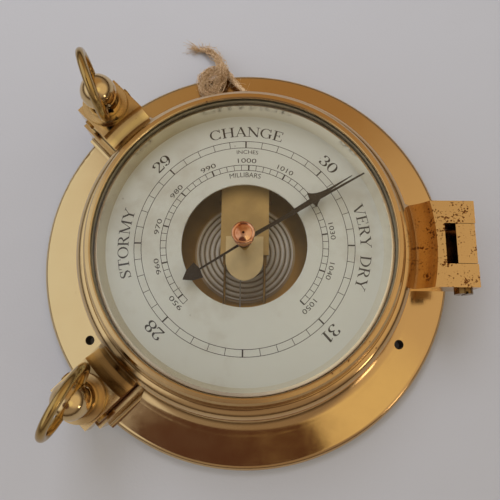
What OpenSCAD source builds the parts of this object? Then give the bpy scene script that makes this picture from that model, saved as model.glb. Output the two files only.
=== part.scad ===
// Porthole barometer: a hinged brass window held shut over an aneroid dial by two ring dogs.
// The origin is the centre of the back mounting face, +Z comes out of the wall towards the reader,
// +Y is 12 o'clock and +X is 3 o'clock, where the hinge is. All sizes are in millimetres.

/* [Dial] */
// Visible radius of the dial at the foot of the reflector
dial_seen_r = 55.9; // [50:0.1:62]
// How far the dial plate runs on under the reflector
dial_lap = 2.3; // [1.8:0.1:3]
// Thickness of the dial plate
dial_t = 1; // [0.8:0.1:1.4]
// Radius of the round opening that shows the movement
opening_r = 25.4; // [22:0.2:28]
// Height of the reflector ring above the dial
reflector_h = 6.6; // [5.5:0.1:6.8]
// Height of the dial's face above the case rim
dial_rise = 5.3; // [4.8:0.1:6]

/* [Case] */
// Height of the case rim that the window shuts on
rim_z = 22.2; // [20:0.1:25]
// How much wider the cavity is than the dial plate
cavity_gap = 2.3; // [1.5:0.1:3.5]
// Thickness of the case wall
case_wall = 6.9; // [6:0.1:8]
// Thickness of the back cover
cover_t = 1.4; // [1:0.1:1.6]

/* [Flange] */
// Width of the flange beyond the case wall
flange_w = 22.6; // [20:0.1:26]
// Thickness of the flange at its rim
flange_t = 6; // [5:0.25:7]
// Distance of the three fixing holes from the flange's rim
fixing_in = 13.7; // [12:0.1:14.5]
// Diameter of a fixing hole
fixing_hole_d = 4; // [3:0.25:5]
// Radius of the cove between flange and wall
cove_r = 9; // [7:0.5:10]

/* [Window] */
// How much wider the glass is than the spigot that carries the dial
glass_over = 1.2; // [1:0.05:1.6]
// Thickness of the glass
glass_t = 2.5; // [2:0.25:3]
// Height of the underside of the glass above the dial
glass_rise = 7.5; // [7.2:0.1:8.5]
// How far the rolled lip laps the glass
lip_lap = 1.4; // [1.2:0.1:2]
// Thickness of the window ring from its bore to its outer side
ring_wall = 7.5; // [6.8:0.1:8.4]
// Gap between the case rim and the window ring's underside
window_gap = 0.3; // [0.25:0.05:0.6]

/* [Hinge] */
// Distance of the hinge pin from the flange's rim
hinge_in = 3.8; // [3.4:0.1:4.4]
// Height of the hinge pin above the ring's underside
hinge_rise = 6; // [5.4:0.1:6.6]
// Width of the window's hinge block
hinge_w = 34.5; // [31:0.5:40]
// Width of the post between the two ears
post_w = 15.8; // [12:0.2:18]
// Height of the top of the hinge block and the post above the pin
hinge_over = 6; // [5.4:0.1:6.6]
// Diameter of the hinge pin
pin_d = 4; // [3:0.25:5]

/* [Dogs] */
// Distance of a dog's screw from the flange's rim
dog_in = 4.8; // [4.2:0.1:5.4]
// Width of the plate that a dog sits on
dog_plate_w = 20.3; // [18:0.1:24]
// Thickness of the plates that the dogs sit on
dog_plate_t = 7; // [6.3:0.1:7.7]
// Distance of the plates' outer ends beyond the screws
dog_plate_end = 6.6; // [5.5:0.1:8]
// Width of the pad under a dog plate
pad_w = 24.5; // [22:0.5:28]
// How far the pads lie below the case rim
pad_drop = 1.9; // [1.5:0.1:2.5]
// Diameter of the dog's ball
ball_d = 14.4; // [13:0.2:16]
// Mean diameter of a ring
loop_d = 25; // [24:0.5:28]
// Diameter of the rings' wire
loop_wire_d = 3.2; // [2.6:0.1:3.4]
// How far a dog unscrews
dog_travel = 5; // [4:0.25:5.5]

/* [Pointers] */
// Gap between the set hand's tip and the foot of the reflector
set_hand_gap = 0.6; // [0.5:0.1:6]
// Gap between the main pointer's tip and the foot of the reflector
pointer_gap = 4.3; // [3.5:0.1:8]
// Length of the main pointer's tail
pointer_tail = 28.1; // [20:0.1:32]
// Clockwise angle of the set hand from 12 o'clock
set_hand_az = 59.4; // [0:0.1:360]
// Clockwise angle of the main pointer from 12 o'clock
pointer_az = 57; // [0:0.5:360]
// Height of the main pointer above the dial
pointer_h = 4; // [3:0.25:4.5]

/* [Movement] */
// Radius of the aneroid capsule
capsule_r = 20.8; // [18:0.2:22]
// Number of corrugations in the capsule
capsule_rings = 8; // [5:1:9]
// Radius of the movement plate
plate_r = 46; // [44:0.5:50]
// Height of the movement plate's underside
plate_z = 4.5; // [4.2:0.1:5]
// Width of the pointer cock
cock_w = 20; // [16:0.5:24]

/* [Twine] */
// Diameter of the hanging twine
twine_d = 2.2; // [1.6:0.1:2.6]

/* [Hidden] */
$fn = 96;
cut = 1;            // how far a cutter runs past what it cuts
slip = 0.1;         // gap between two pieces that only rest together
turn_gap = 0.05;    // gap round a shaft that turns in its bearing

// Case, from the dial outward
dial_z = rim_z + dial_rise;
dial_r = dial_seen_r + dial_lap;
dial_back_z = dial_z - dial_t;
spigot_rim = 0.7;
spigot_r = dial_r + spigot_rim;
dial_seat_w = 1.9;
spigot_in_r = dial_r - dial_seat_w;
seat_t = 3.2;
cavity_r = dial_r + cavity_gap;
wall_r = cavity_r + case_wall;
flange_r = wall_r + flange_w;
flange_crown = 1;
flange_top_z = flange_t + flange_crown;
fixing_circle_r = flange_r - fixing_in;
cover_sink = 0.8;
cover_recess_z = cover_t + cover_sink;
cover_lap = 3.2;
cover_r = cavity_r + cover_lap;
cover_gap = 0.2;
cover_screw_in = 1.7;
cover_screw_r = cover_r - cover_screw_in;
cover_screw_d = 2;
cover_screw_head_r = 1.6;
cover_screw_len = 5;
cover_screw_az = [60, 180, 300];
fixing_az = [0, 120, 240];
gasket_in = 5;
gasket_in_r = wall_r - gasket_in;
gasket_w = 3;
gasket_t = 1.3;
gasket_proud = 0.2;

// Window ring
glass_r = spigot_r + glass_over;
glass_gap = 0.3;
ring_bore_r = glass_r + glass_gap;
ring_r = ring_bore_r + ring_wall;
ring_z = rim_z + window_gap;
lip_r = glass_r - lip_lap;
glass_z = dial_z + glass_rise;
glass_top_z = glass_z + glass_t;
glass_gasket_t = 0.4;
lip_under_z = glass_top_z + glass_gasket_t;
lip_t = 1.2;
lip_top_z = lip_under_z + lip_t;
band_r = 5.8;
band_drop = 12.4;
band_z = lip_top_z - band_drop;
groove_in = 4.7;
groove_r = ring_r - groove_in;
groove_drop = 6.5;
groove_z = lip_top_z - groove_drop;
groove_size = 0.45;
retainer_h = 2;
retainer_lap = 1;
retainer_in_r = glass_r - retainer_lap;
lug_root = 3;
lug_foot_out = 1.5;
lug_foot_r = ring_r + lug_foot_out;
lug_foot_z = band_z + 0.7;
lug_foot_in = 1.7;
lug_foot_in_r = ring_r - lug_foot_in;
dog_cove_r = 10.7;
dog_cove_in = 0.72;
dog_cove_rise = 6.97;
hinge_cove_r = 15;
hinge_cove_in = 6.4;
hinge_cove_rise = 6.1;

// Hinge
hinge_x = flange_r - hinge_in;
hinge_z = ring_z + hinge_rise;
hinge_top_z = hinge_z + hinge_over;
ear_len = 4.3;
ear_out_x = hinge_x + ear_len;
post_in_len = 3.5;
post_in_x = hinge_x - post_in_len;
post_out_len = 4;
post_out_x = hinge_x + post_out_len;
slot_len = 7.8;
block_slot_x = hinge_x - slot_len;
side_gap = 0.2;
post_foot_len = 12.2;
post_foot_x = hinge_x - post_foot_len;
post_foot_drop = 2.4;
post_foot_z = ring_z - post_foot_drop;
pin_head_d = 7;
pin_head_h = 2;
pin_end = 1.2;
pin_slot_w = 0.9;
pin_slot_depth = 0.8;

// Dogs
dogs = [-45, -135];
dog_r = flange_r - dog_in;
dog_plate_z = ring_z + dog_plate_t;
dog_plate_r = dog_r + dog_plate_end;
pad_z = rim_z - pad_drop;
pad_out_r = flange_r;
pad_root = 3;
pad_in_r = wall_r - pad_root;
pad_fillet = 2;
thread_hole_d = 6;
thread_core_d = 4.77;
thread_gap = 0.25;
thread_depth = 5;
thread_tip_z = pad_z - thread_depth;
thread_runout = 3;
thread_hole_z = thread_tip_z - thread_runout;
waist_d = 3.2;
keeper_in = 3.6;
keeper_z = dog_plate_z - keeper_in;
keeper_d = 2;
keeper_head_d = 4;
keeper_proud = 1;
waist_over = 0.3;
waist_under = 0.7;
waist_top_z = keeper_z + keeper_d / 2 + waist_over;
waist_bottom_z = keeper_z - keeper_d / 2 - dog_travel - waist_under;
washer_r = 9.4;
washer_t = 1.5;
washer_top_z = dog_plate_z + slip + washer_t;
collar_r = 7;
collar_h = 3.2;
neck_r = 4.6;
ball_rise = 10.5;
ball_z = dog_plate_z + ball_rise;
loop_gap = 0.25;
throat_half = 1.3;
throat_gap = 0.05;
// For each dog: the clockwise turn of the ring's plane from the outward direction, its lean
// towards the clockwise side and its slip towards the dial
loop_turn = [24.8, -18];
loop_tilt = [2, -7.5];
loop_slip = [21, 7];

// Knob and hands
bush_r = 3.4;
bush_h = 2.6;
stem_r = 1.4;
bush_tube_t = 0.6;
bush_slip = 0.05;
knob_r = 4.35;
knob_rim = 0.55;
knob_skirt_gap = 0.2;
knob_skirt_in = 0.2;
knob_skirt_h = 1.2;
knob_top_h = 5.6;
dome_r = 9;
dome_rise = 0.5;
knob_skirt_z = glass_top_z + bush_h + knob_skirt_gap;
knob_z = knob_skirt_z + knob_skirt_h;
knob_rim_z = knob_z + knob_top_h;
set_hand_drop = 0.8;
set_hand_z = glass_z - set_hand_drop;
set_hand_t = 0.4;
set_hand_hub_r = 2.8;
set_hand_half = 0.75;
set_hand_tip_half = 0.3;
set_hand_waist_y = 20;
set_hand_len = dial_seen_r - set_hand_gap;
pointer_len = dial_seen_r - pointer_gap;
pointer_hub_r = 2.4;
pointer_barb_in = 19.5;
pointer_t = 0.5;
arbor_r = 1.1;

// Movement
plate_t = 2;
plate_top_z = plate_z + plate_t;
pillar_r = 40;
pillar_az = [50, 165, 285];
pillar_d = 5;
pillar_screw_d = 2.4;
pillar_screw_len = 5;
pillar_head_r = 2.3;
pillar_head_h = 1.6;
capsule_z = plate_top_z + 0.9;
capsule_h = 4.2;
capsule_wave = 0.55;
capsule_hub_r = 3.4;
lever_z = 13.6;
lever_t = 1.2;
lever_pivot_y = 23.5;
lever_rod_x = 8.4;
lever_rod_r = 0.55;
lever_end_y = -31;
lever_plate_end_y = -6;
lever_foot_z = 9.8;
lever_pivot_r = 0.9;
bridge_y = 27;
bridge_len = 9;
bridge_top_z = 20;
lower_cock_z = 16.3;
lower_cock_t = 1;
cock_t = 1.5;
cock_end_y = -3;
bearing_w = 15.5;
bearing_t = 0.8;
bearing_top_y = 4.6;
bearing_side_y = -5.4;
bearing_tip_y = -14;
drum_r = 1.2;
drum_z = 17.5;
chain_r = 0.3;
chain_z = 18.1;
chain_len = 29;
rocker_y = -34;
rocker_z = 8.5;
rocker_half = 17.5;
rocker_r = 1;
rocker_post_t = 3;
rocker_post_w = 5;
rocker_post_out = 0.6;
rocker_post_top = 3;
adjust_y = 31;
adjust_d = 4;
adjust_head_r = 3.3;
adjust_head_h = 1.9;
adjust_reach = 4;
adjust_hole_r = 4;

// Twine: from the top fixing hole, round a loop on the flange, over the rim and out to its bare end
twine_route = [
    [0, 76.3, 2.5], [0, 76.3, 5.5], [-0.4, 76.75, 8.0], [-1.5, 78, 9.8], [-3.2, 79.9, 10.1],
    [-5, 81.9, 9.4], [-7, 84.4, 8.8], [-9.4, 87.9, 8.6], [-12.7, 90.8, 7.8], [-16, 89.8, 7.9],
    [-18.9, 88.4, 8.3], [-21.1, 86, 8.3], [-21.9, 82.7, 8.3], [-21, 79, 8.4], [-18.1, 77, 8.6],
    [-15.2, 78.6, 8.9], [-13.9, 81.7, 9.6], [-12.5, 85.1, 10.6], [-11.7, 88.2, 11.1],
    [-12.5, 92.5, 9.4], [-14.4, 98.1, 5.2], [-17.5, 103.4, 1.9], [-21, 105.9, 1.25],
    [-24.5, 106.5, 1.25]
];
twine_sides = 8;

// Turns a child that points along +Y to a clockwise angle from 12 o'clock
module at_azimuth(az) {
    rotate([0, 0, -az]) children();
}

// A tube or ring about Z between two radii and two heights
module ring_band(inner_r, outer_r, low_z, high_z) {
    rotate_extrude() translate([inner_r, low_z]) square([outer_r - inner_r, high_z - low_z]);
}

// A round bar about Z from one height to another
module bar(r, low_z, high_z) {
    translate([0, 0, low_z]) cylinder(r = r, h = high_z - low_z);
}

// A cheese-headed screw with its head at the bottom and a slot across it
module slotted_screw(shank_r, head_r, head_h, len) {
    difference() {
        union() {
            bar(head_r, 0, head_h);
            bar(shank_r, head_h / 2, head_h + len);
        }
        translate([-head_r - cut, -head_h * 0.15, -cut]) {
            cube([2 * (head_r + cut), head_h * 0.3, cut + head_h * 0.45]);
        }
    }
}

// Section of the flange, its half-round rim, the cove and the case wall with its seat and spigot
module base_section() {
    rim_r = flange_t / 2;
    cove_x = wall_r + cove_r;
    difference() {
        union() {
            translate([cavity_r, 0]) square([flange_r - rim_r - cavity_r, flange_t]);
            translate([flange_r - rim_r, rim_r]) circle(r = rim_r);
            polygon([[cavity_r, cut], [flange_r - rim_r, cut], [flange_r - rim_r, flange_t],
                     [cove_x, flange_top_z], [cavity_r, flange_top_z]]);
            translate([cavity_r, 0]) square([wall_r - cavity_r, rim_z]);
            translate([wall_r - cut, flange_top_z - cut]) square([cove_r + cut, cove_r + cut]);
            translate([spigot_in_r, rim_z - seat_t]) square([cavity_r - spigot_in_r + cut, seat_t]);
            translate([spigot_in_r, rim_z - cut]) {
                square([spigot_r - spigot_in_r, dial_back_z - rim_z + cut]);
            }
        }
        translate([cove_x, flange_top_z + cove_r]) circle(r = cove_r);
        translate([0, -cut]) square([cover_r + cover_gap, cover_recess_z + cut]);
        translate([gasket_in_r, rim_z - gasket_t + gasket_proud]) square([gasket_w, gasket_t]);
    }
}

// The pad under a dog: a block from the wall to the rim, filleted at its foot
module dog_pad() {
    foot_z = flange_t - cut;
    translate([0, pad_out_r, 0]) rotate([90, 0, 0]) linear_extrude(pad_out_r - pad_in_r) {
        difference() {
            union() {
                translate([-pad_w / 2, foot_z]) square([pad_w, pad_z - foot_z]);
                translate([-pad_w / 2 - pad_fillet, foot_z]) {
                    square([pad_w + 2 * pad_fillet, flange_top_z + pad_fillet - foot_z]);
                }
            }
            for (side = [-1, 1]) {
                translate([side * (pad_w / 2 + pad_fillet), flange_top_z + pad_fillet]) {
                    circle(r = pad_fillet);
                }
            }
        }
    }
}

// Post that stands on the flange between the ears of the window
module hinge_post() {
    translate([post_in_x, -post_w / 2, cut]) {
        cube([post_out_x - post_in_x, post_w, hinge_top_z - cut]);
    }
    translate([post_foot_x, -post_w / 2, cut]) {
        cube([post_out_x - post_foot_x, post_w, post_foot_z - cut]);
    }
}

module base_flange() {
    color("goldenrod") difference() {
        union() {
            rotate_extrude() base_section();
            for (az = dogs) at_azimuth(az) difference() {
                dog_pad();
                bar(wall_r - 1, 0, pad_z + cut);
            }
            difference() {
                hinge_post();
                bar(wall_r - 1, 0, hinge_top_z + cut);
            }
        }
        for (az = fixing_az) at_azimuth(az) translate([0, fixing_circle_r, 0]) {
            bar(fixing_hole_d / 2, -cut, flange_top_z + cove_r);
        }
        for (az = dogs) at_azimuth(az) translate([0, dog_r, 0]) {
            bar(thread_hole_d / 2, thread_hole_z, pad_z + cut);
        }
        translate([hinge_x, 0, hinge_z]) rotate([90, 0, 0]) {
            cylinder(r = pin_d / 2 + turn_gap, h = post_w + 2 * cut, center = true);
        }
        for (az = cover_screw_az) at_azimuth(az) translate([0, cover_screw_r, 0]) {
            bar(cover_screw_d / 2, cover_recess_z - cut, cover_recess_z + cover_screw_len);
        }
    }
}

module window_gasket() {
    color("dimgray") ring_band(gasket_in_r, gasket_in_r + gasket_w,
                               rim_z - gasket_t + gasket_proud, rim_z + gasket_proud);
}

module back_cover() {
    color("goldenrod") difference() {
        bar(cover_r, cover_recess_z - cover_t, cover_recess_z);
        for (az = cover_screw_az) at_azimuth(az) translate([0, cover_screw_r, 0]) {
            bar(cover_screw_d / 2, -cut, cover_recess_z + cut);
        }
        translate([0, adjust_y, 0]) bar(adjust_hole_r, -cut, cover_recess_z + cut);
    }
}

module back_cover_screws() {
    head_h = cover_recess_z - cover_t - slip;
    color("darkgoldenrod") for (az = cover_screw_az) at_azimuth(az) {
        translate([0, cover_screw_r, slip]) {
            slotted_screw(cover_screw_d / 2, cover_screw_head_r, head_h, cover_t + cover_screw_len - cut);
        }
    }
}

module dial_plate() {
    color("lightgray") ring_band(opening_r, dial_r, dial_back_z, dial_z);
}

module reflector_ring() {
    top_z = dial_z + reflector_h;
    color("silver") rotate_extrude() polygon([
        [dial_seen_r, dial_z], [spigot_r - 0.3, dial_z], [spigot_r - 0.3, top_z],
        [dial_seen_r + 1.4, top_z]
    ]);
}

module movement_plate() {
    color("peru") difference() {
        bar(plate_r, plate_z, plate_top_z);
        for (az = pillar_az) at_azimuth(az) translate([0, pillar_r, 0]) {
            bar(pillar_screw_d / 2, plate_z - cut, plate_top_z + cut);
        }
        translate([0, adjust_y, 0]) {
            bar(adjust_d / 2 + turn_gap, plate_z - cut, plate_top_z + cut);
        }
    }
}

module movement_pillars() {
    color("goldenrod") for (az = pillar_az) at_azimuth(az) translate([0, pillar_r, 0]) {
        difference() {
            bar(pillar_d / 2, plate_top_z, dial_back_z);
            bar(pillar_screw_d / 2, plate_top_z - cut, plate_top_z + pillar_screw_len + cut);
        }
    }
}

module pillar_screws() {
    color("gray") for (az = pillar_az) at_azimuth(az) {
        translate([0, pillar_r, plate_z - pillar_head_h]) {
            slotted_screw(pillar_screw_d / 2, pillar_head_r, pillar_head_h, plate_t + pillar_screw_len);
        }
    }
}

// Height of a corrugated face above its middle at a distance from the axis
function wave_at(r) =
    capsule_wave * cos(360 * capsule_rings * (r - capsule_hub_r) / (capsule_r - capsule_hub_r));

module aneroid_capsule() {
    steps = capsule_rings * 8;
    reach = capsule_r - capsule_hub_r;
    mid_z = capsule_z + capsule_h / 2;
    top = [for (i = [0:steps]) let (r = capsule_hub_r + reach * i / steps)
           [r, mid_z + capsule_h / 2 - capsule_wave + wave_at(r)]];
    bottom = [for (i = [steps:-1:0]) let (r = capsule_hub_r + reach * i / steps)
              [r, mid_z - capsule_h / 2 + capsule_wave - wave_at(r)]];
    color("silver") union() {
        rotate_extrude() polygon(concat([[0, top[0][1]]], top, bottom, [[0, bottom[steps][1]]]));
        ring_band(capsule_r - 0.5, capsule_r + 1, mid_z - 0.4, mid_z + 0.4);
        bar(capsule_hub_r, plate_top_z, mid_z);
        bar(capsule_hub_r - 0.6, mid_z, capsule_z + capsule_h + 1.2);
    }
}

// Block at the back of the movement that carries the lever's pivot and both cocks
module bridge() {
    ear_in = lever_rod_x + 1.3;
    ear_t = 1.5;
    half = ear_in + ear_t;
    lever_mid_z = lever_z + lever_t / 2;
    color("saddlebrown") difference() {
        union() {
            translate([-half, bridge_y, plate_top_z]) cube([2 * half, bridge_len, bridge_top_z - plate_top_z]);
            for (side = [-1, 1]) {
                translate([side * (ear_in + ear_t / 2) - ear_t / 2, lever_pivot_y - 2, lever_z - 2]) {
                    cube([ear_t, bridge_y - lever_pivot_y + 2 + cut, lever_t + 4]);
                }
            }
            translate([-3.5, cock_end_y, lower_cock_z]) {
                cube([7, bridge_y - cock_end_y + cut, lower_cock_t]);
            }
        }
        translate([0, lever_pivot_y, lever_mid_z]) rotate([0, 90, 0]) {
            cylinder(r = lever_pivot_r + turn_gap, h = 2 * half + 2 * cut, center = true);
        }
        bar(0.6 + turn_gap, lower_cock_z - cut, lower_cock_z + lower_cock_t + cut);
        translate([0, adjust_y, 0]) bar(adjust_d / 2 + turn_gap, plate_top_z - cut, plate_top_z + 5);
        for (x = [-5.5, 5.5]) translate([x, bridge_y + bridge_len / 2, 0]) {
            bar(1, bridge_top_z - 6, bridge_top_z + cut);
        }
    }
}

module pointer_cock() {
    color("tan") difference() {
        translate([-cock_w / 2, cock_end_y, bridge_top_z]) {
            cube([cock_w, bridge_y + bridge_len - cock_end_y, cock_t]);
        }
        bar(arbor_r + turn_gap, bridge_top_z - cut, bridge_top_z + cock_t + cut);
        for (x = [-5.5, 5.5]) translate([x, bridge_y + bridge_len / 2, 0]) {
            bar(1, bridge_top_z - cut, bridge_top_z + cock_t + cut);
        }
    }
}

module cock_screws() {
    color("gray") for (x = [-5.5, 5.5]) {
        translate([x, bridge_y + bridge_len / 2, bridge_top_z + cock_t + 1.2]) {
            rotate([180, 0, 0]) slotted_screw(1, 2, 1.2, cock_t + 5.5);
        }
    }
}

// Pale plate on the cock, square above and drawn to a curved point below
module bearing_plate() {
    half = bearing_w / 2;
    point_len = bearing_side_y - bearing_tip_y;
    side_r = (half * half + point_len * point_len) / (2 * half);
    color("wheat") translate([0, 0, bridge_top_z + cock_t]) linear_extrude(bearing_t) difference() {
        union() {
            translate([-half, bearing_side_y]) square([bearing_w, bearing_top_y - bearing_side_y]);
            intersection() {
                translate([half - side_r, bearing_side_y]) circle(r = side_r);
                translate([side_r - half, bearing_side_y]) circle(r = side_r);
                translate([-half, bearing_tip_y - cut]) square([bearing_w, point_len + 2 * cut]);
            }
        }
        circle(r = arbor_r + turn_gap);
    }
}

module rocker_posts() {
    post_h = rocker_z + rocker_post_top - plate_top_z;
    color("goldenrod") for (side = [-1, 1]) difference() {
        translate([side * (rocker_half + rocker_post_out), rocker_y, plate_top_z]) {
            translate([-rocker_post_t / 2, -rocker_post_w / 2, 0]) cube([rocker_post_t, rocker_post_w, post_h]);
        }
        translate([0, rocker_y, rocker_z]) rotate([0, 90, 0]) {
            cylinder(r = rocker_r + turn_gap, h = 4 * rocker_half, center = true);
        }
    }
}

module adjusting_screw() {
    color("gray") translate([0, adjust_y, plate_z - slip - adjust_head_h]) {
        slotted_screw(adjust_d / 2, adjust_head_r, adjust_head_h, plate_t + slip + adjust_reach);
    }
}

// Plate over the capsule that swings on its pivot and carries two thin rods to the rocker
module main_lever() {
    mid_z = lever_z + lever_t / 2;
    plate_end_y = lever_plate_end_y;
    half = lever_rod_x + lever_pivot_r;
    color("tan") union() {
        translate([-half, plate_end_y, lever_z]) cube([2 * half, lever_pivot_y - plate_end_y, lever_t]);
        translate([0, lever_pivot_y, mid_z]) rotate([0, 90, 0]) {
            cylinder(r = lever_pivot_r, h = 2 * (lever_rod_x + 2.6), center = true);
        }
        for (side = [-1, 1]) translate([side * lever_rod_x, 0, mid_z]) {
            translate([0, plate_end_y + cut, 0]) rotate([90, 0, 0]) {
                cylinder(r = lever_rod_r, h = plate_end_y + cut - lever_end_y + lever_rod_r);
            }
            translate([0, lever_end_y, lever_foot_z - mid_z]) {
                cylinder(r = lever_rod_r, h = mid_z - lever_foot_z);
            }
        }
    }
}

// Rocking shaft: two short arms under the lever's rods and one long arm that draws the chain
module rocker() {
    arm_len = 4;
    arm_t = 1;
    chain_arm_w = 1.6;
    chain_arm_z = chain_z - chain_r - 0.2;
    color("goldenrod") translate([0, rocker_y, 0]) union() {
        translate([0, 0, rocker_z]) rotate([0, 90, 0]) {
            cylinder(r = rocker_r, h = 2 * rocker_half + 2, center = true);
        }
        for (side = [-1, 1]) {
            translate([side * lever_rod_x - 0.8, 0, rocker_z - arm_t / 2]) cube([1.6, arm_len, arm_t]);
        }
        translate([-drum_r - chain_r - chain_arm_w / 2, -chain_arm_w / 2, rocker_z]) {
            cube([chain_arm_w, chain_arm_w, chain_arm_z - rocker_z]);
        }
    }
}

module chain() {
    color("dimgray") translate([-drum_r - chain_r - slip, 0, chain_z]) rotate([90, 0, 0]) {
        cylinder(r = chain_r, h = chain_len + 4);
    }
}

module pointer_arbor() {
    hub_z = dial_z + pointer_h;
    color("goldenrod") union() {
        bar(0.6, lower_cock_z + slip, drum_z + cut);
        bar(drum_r, drum_z, drum_z + 1.3);
        bar(arbor_r, drum_z + cut, hub_z - 0.5);
        bar(2.6, hub_z - 0.8, hub_z);
        bar(arbor_r, hub_z - cut, hub_z + pointer_t + 0.6);
    }
}

// Arrow that points to +Y, with a long fine tip, and a reversed arrow on its tail
module pointer_outline() {
    barb_y = pointer_len - pointer_barb_in;
    side = [
        [0.5, 0], [0.85, barb_y - 0.6], [3.5, barb_y], [2.3, barb_y + 1.5], [1.5, barb_y + 3.1],
        [1, barb_y + 4.9], [0.7, barb_y + 6.9], [0.5, barb_y + 8.9], [0.12, pointer_len]
    ];
    tail = [
        [0.1, -pointer_tail], [2.4, 3.1 - pointer_tail], [3.5, 7.1 - pointer_tail], [0.35, 7.8 - pointer_tail]
    ];
    mirror_side = [for (i = [len(side) - 1:-1:0]) [-side[i][0], side[i][1]]];
    mirror_tail = [for (i = [len(tail) - 1:-1:0]) [-tail[i][0], tail[i][1]]];
    polygon(concat(side, mirror_side, mirror_tail, tail));
}

module main_pointer() {
    color("midnightblue") at_azimuth(pointer_az) translate([0, 0, dial_z + pointer_h]) {
        difference() {
            union() {
                linear_extrude(pointer_t) pointer_outline();
                bar(pointer_hub_r, 0, pointer_t);
            }
            bar(arbor_r, -cut, pointer_t + cut);
        }
    }
}

// Flat spiral of a few turns on a collet
module hairspring() {
    turns = 4;
    inner_r = 1.8;
    outer_r = 6;
    half_t = 0.11;
    steps = 96;
    spring_z = drum_z + 1.5;
    function spiral(i, side) = let (a = 360 * turns * i / steps,
                                    r = inner_r + (outer_r - inner_r) * i / steps + side * half_t)
        [r * cos(a), r * sin(a)];
    outline = concat([for (i = [0:steps]) spiral(i, 1)], [for (i = [steps:-1:0]) spiral(i, -1)]);
    color("steelblue") translate([0, 0, spring_z]) union() {
        linear_extrude(0.7) polygon(outline);
        difference() {
            bar(inner_r + half_t / 2, 0, 0.7);
            bar(arbor_r, -cut, 1 + cut);
        }
    }
}

// Section of the window ring: a rebate for the glass, a rolled lip, a groove and a quarter-round band
module ring_section() {
    difference() {
        union() {
            translate([ring_bore_r, ring_z]) square([ring_r - ring_bore_r, band_z - ring_z]);
            intersection() {
                translate([ring_r - band_r, band_z]) circle(r = band_r);
                translate([ring_bore_r, band_z - cut]) square([ring_r - ring_bore_r, band_r + 2 * cut]);
            }
            polygon([
                [ring_bore_r, band_z - cut], [ring_r - band_r + 0.7, band_z - cut],
                [ring_r - band_r + 0.7, groove_z], [lip_r + 2.9, lip_top_z - 0.9],
                [lip_r + 2, lip_top_z], [lip_r + lip_t / 2, lip_top_z],
                [lip_r + lip_t / 2, lip_under_z], [ring_bore_r, lip_under_z]
            ]);
            translate([lip_r + lip_t / 2, lip_under_z + lip_t / 2]) circle(r = lip_t / 2);
        }
        translate([groove_r, groove_z]) circle(r = groove_size);
    }
}

// Cuts the turned cove between the ring and a lug, down to the crisp edge that the ring's band slopes to
module lug_cove(at, z, r) {
    rotate_extrude() difference() {
        union() {
            translate([at, z]) circle(r = r);
            translate([at - r, z]) square([2 * r, r]);
        }
        polygon([
            [lug_foot_in_r, 0], [lug_foot_r, 0], [lug_foot_r, lug_foot_z],
            [lug_foot_in_r, lug_foot_z + lug_foot_r - lug_foot_in_r]
        ]);
    }
}

module window_ring() {
    root_r = ring_r - lug_root;
    color("goldenrod") difference() {
        union() {
            rotate_extrude() ring_section();
            for (az = dogs) difference() {
                at_azimuth(az) translate([-dog_plate_w / 2, root_r, ring_z]) {
                    cube([dog_plate_w, dog_plate_r - root_r, dog_plate_z - ring_z]);
                }
                lug_cove(ring_r - dog_cove_in, dog_plate_z + dog_cove_rise, dog_cove_r);
            }
            difference() {
                translate([root_r, -hinge_w / 2, ring_z]) {
                    cube([ear_out_x - root_r, hinge_w, hinge_top_z - ring_z]);
                }
                lug_cove(ring_r - hinge_cove_in, hinge_top_z + hinge_cove_rise, hinge_cove_r);
            }
        }
        translate([block_slot_x, -post_w / 2 - side_gap, ring_z - cut]) {
            cube([ear_out_x - block_slot_x + cut, post_w + 2 * side_gap, hinge_top_z - ring_z + 2 * cut]);
        }
        translate([hinge_x, 0, hinge_z]) rotate([90, 0, 0]) {
            cylinder(r = pin_d / 2, h = hinge_w + 2 * cut, center = true);
        }
        for (az = dogs) at_azimuth(az) translate([0, dog_r, 0]) {
            bar(thread_core_d / 2 + thread_gap, ring_z - cut, dog_plate_z + cut);
            translate([0, 0, keeper_z]) rotate([0, 90, 0]) {
                cylinder(r = keeper_d / 2, h = dog_plate_w + 2 * cut, center = true);
            }
        }
    }
}

module glass() {
    color("lightcyan", 0.35) difference() {
        bar(glass_r, glass_z, glass_top_z);
        bar(stem_r + bush_tube_t + bush_slip, glass_z - cut, glass_top_z + cut);
    }
}

module glass_gasket() {
    color("dimgray") ring_band(lip_r + 0.5, glass_r, glass_top_z, lip_under_z);
}

module glass_retainer() {
    color("goldenrod") ring_band(retainer_in_r, ring_bore_r, glass_z - retainer_h, glass_z);
}

module hinge_pin() {
    color("darkgoldenrod") translate([hinge_x, 0, hinge_z]) rotate([90, 0, 0]) difference() {
        union() {
            bar(pin_d / 2, -hinge_w / 2 - pin_end, hinge_w / 2 + pin_head_h / 2);
            bar(pin_head_d / 2, hinge_w / 2, hinge_w / 2 + pin_head_h);
        }
        translate([-pin_slot_w / 2, -pin_head_d, hinge_w / 2 + pin_head_h - pin_slot_depth]) {
            cube([pin_slot_w, 2 * pin_head_d, pin_slot_depth + cut]);
        }
    }
}

// Two pins a dog, from the plate's sides into the waist of the screw
module keeper_pins() {
    tip = waist_d / 2 + 0.25;
    color("darkgoldenrod") for (az = dogs) at_azimuth(az) for (side = [-1, 1]) {
        translate([0, dog_r, keeper_z]) rotate([0, side * 90, 0]) {
            bar(keeper_d / 2, tip, dog_plate_w / 2 + keeper_proud);
            bar(keeper_head_d / 2, dog_plate_w / 2, dog_plate_w / 2 + keeper_proud);
        }
    }
}

module knob_bush() {
    color("saddlebrown") difference() {
        union() {
            bar(bush_r, glass_top_z, glass_top_z + bush_h);
            bar(stem_r + bush_tube_t, glass_z, glass_top_z + cut);
        }
        bar(stem_r + turn_gap, glass_z - cut, glass_top_z + bush_h + cut);
    }
}

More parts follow.
